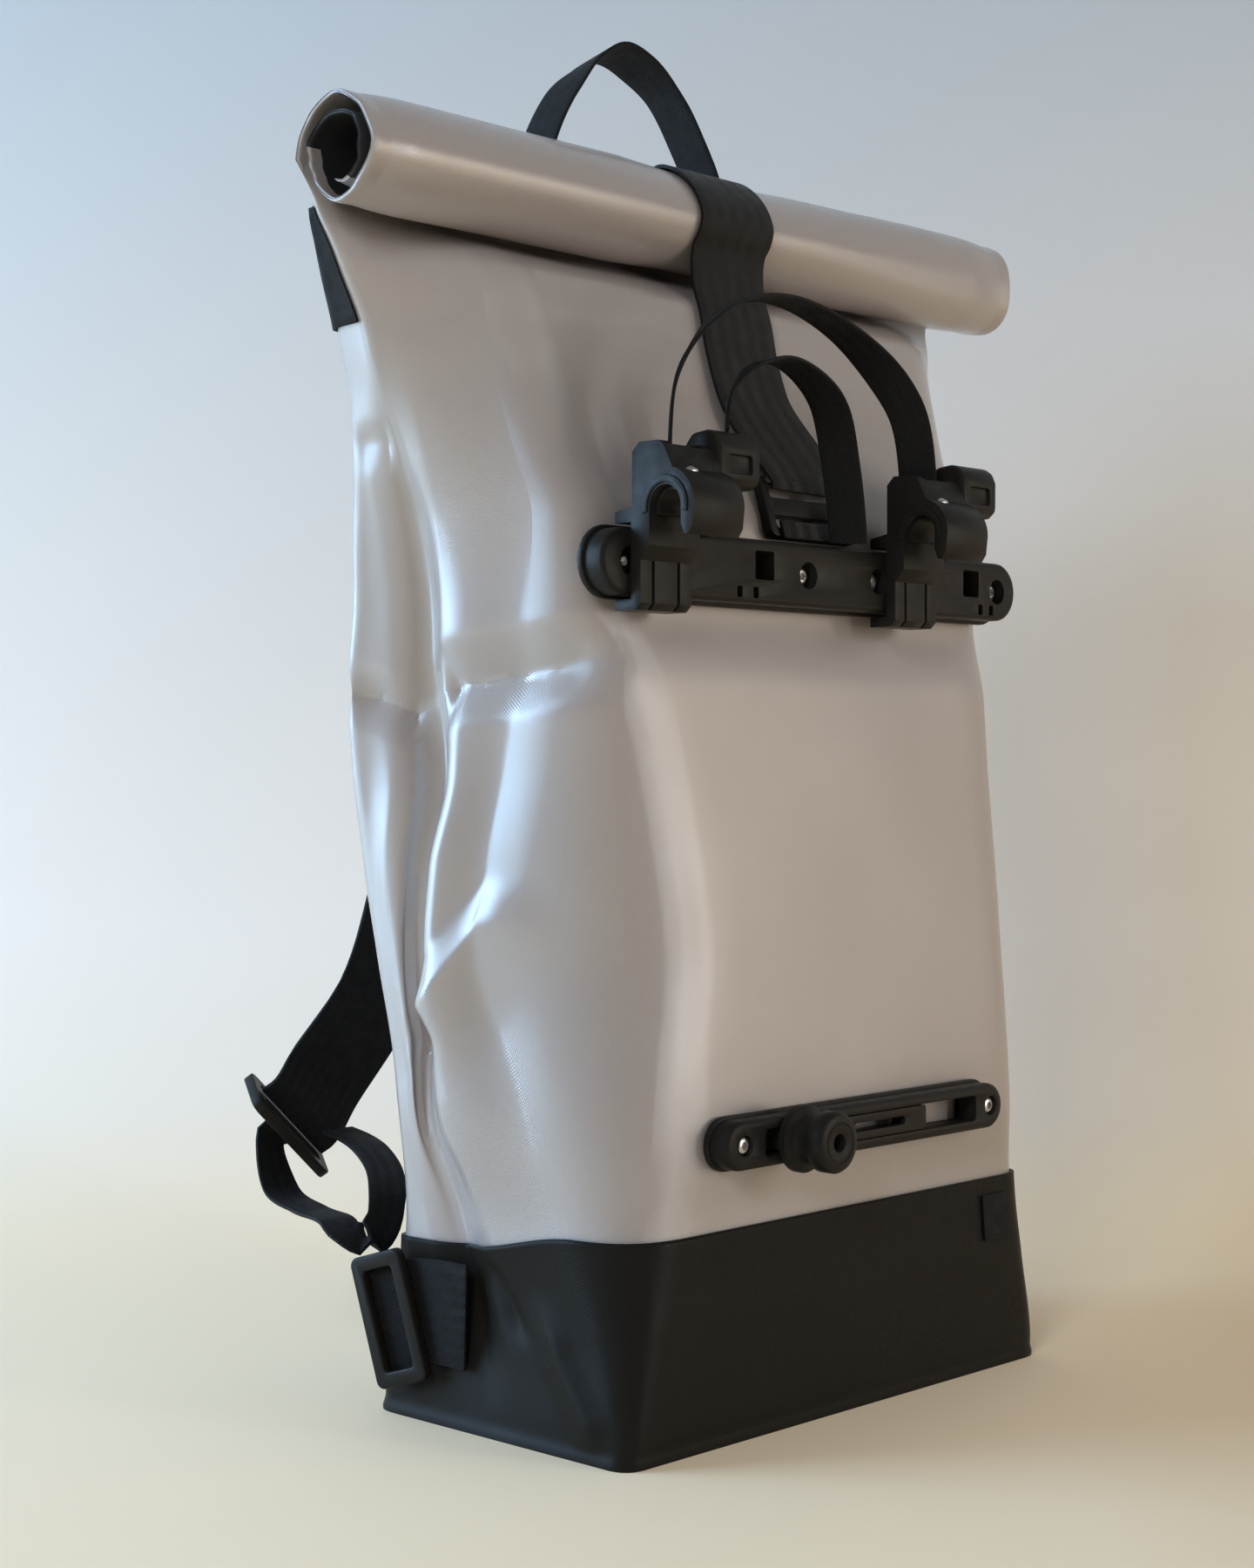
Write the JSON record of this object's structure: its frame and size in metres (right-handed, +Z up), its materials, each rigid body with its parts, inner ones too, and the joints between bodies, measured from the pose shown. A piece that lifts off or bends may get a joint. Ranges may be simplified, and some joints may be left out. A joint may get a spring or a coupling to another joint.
{
  "type": "cycling backpack",
  "caption": "Roll-top cycling backpack of glossy coated tarpaulin with a black boot, webbing harness, and a rail with rack hooks on its front.",
  "frame": {"origin": "middle of the boot's flat floor, where the bag stands", "axes": "+Z up, +X to the right seen from the rack side, -Y towards the rack hooks, +Y towards the harness"},
  "size_m": [0.447, 0.2928, 0.6495],
  "materials": {
    "tarp": "glossy coated weave",
    "boot": "semi-gloss coated",
    "webbing": "woven webbing",
    "plastic": "moulded",
    "steel": "bright screw"
  },
  "bodies": {
    "bag": {"tarp_body": "tarp", "base_boot": "boot", "back_band": "webbing", "closure_strap": "webbing", "buckle_anchor": "webbing", "carry_handle": "webbing", "pull_strap_outer": "webbing", "pull_strap_inner": "webbing", "side_tag": "webbing", "shoulder_strap_left": "webbing", "adjuster_web_left": "webbing", "corner_tab_left": "webbing", "shoulder_strap_right": "webbing", "adjuster_web_right": "webbing", "corner_tab_right": "webbing", "closure_buckle": "plastic", "upper_rail": "plastic", "lower_rail": "plastic", "strap_slider_left": "plastic", "corner_buckle_left": "plastic", "hook_left": "plastic", "hook_lever_left": "plastic", "strap_slider_right": "plastic", "corner_buckle_right": "plastic", "hook_right": "plastic", "hook_lever_right": "plastic", "upper_screw_1": "steel", "upper_screw_2": "steel", "upper_screw_3": "steel", "upper_screw_4": "steel", "lower_screw_1": "steel", "lower_screw_2": "steel"},
    "lower_arm": {"lower_hook_arm": "plastic"},
    "lower_knob": {"lower_hook_knob": "plastic"}
  },
  "joints": [
    {"name": "lower_arm_slide", "type": "slide", "parent": "bag", "child": "lower_arm", "axis": [1, 0, 0], "range_m": [-0.011, 0.039]},
    {"name": "lower_knob_turn", "type": "hinge", "parent": "lower_arm", "child": "lower_knob", "pos_m": [-0.048, -0.0893, 0.13], "axis": [0, -1, 0], "continuous": true}
  ]
}
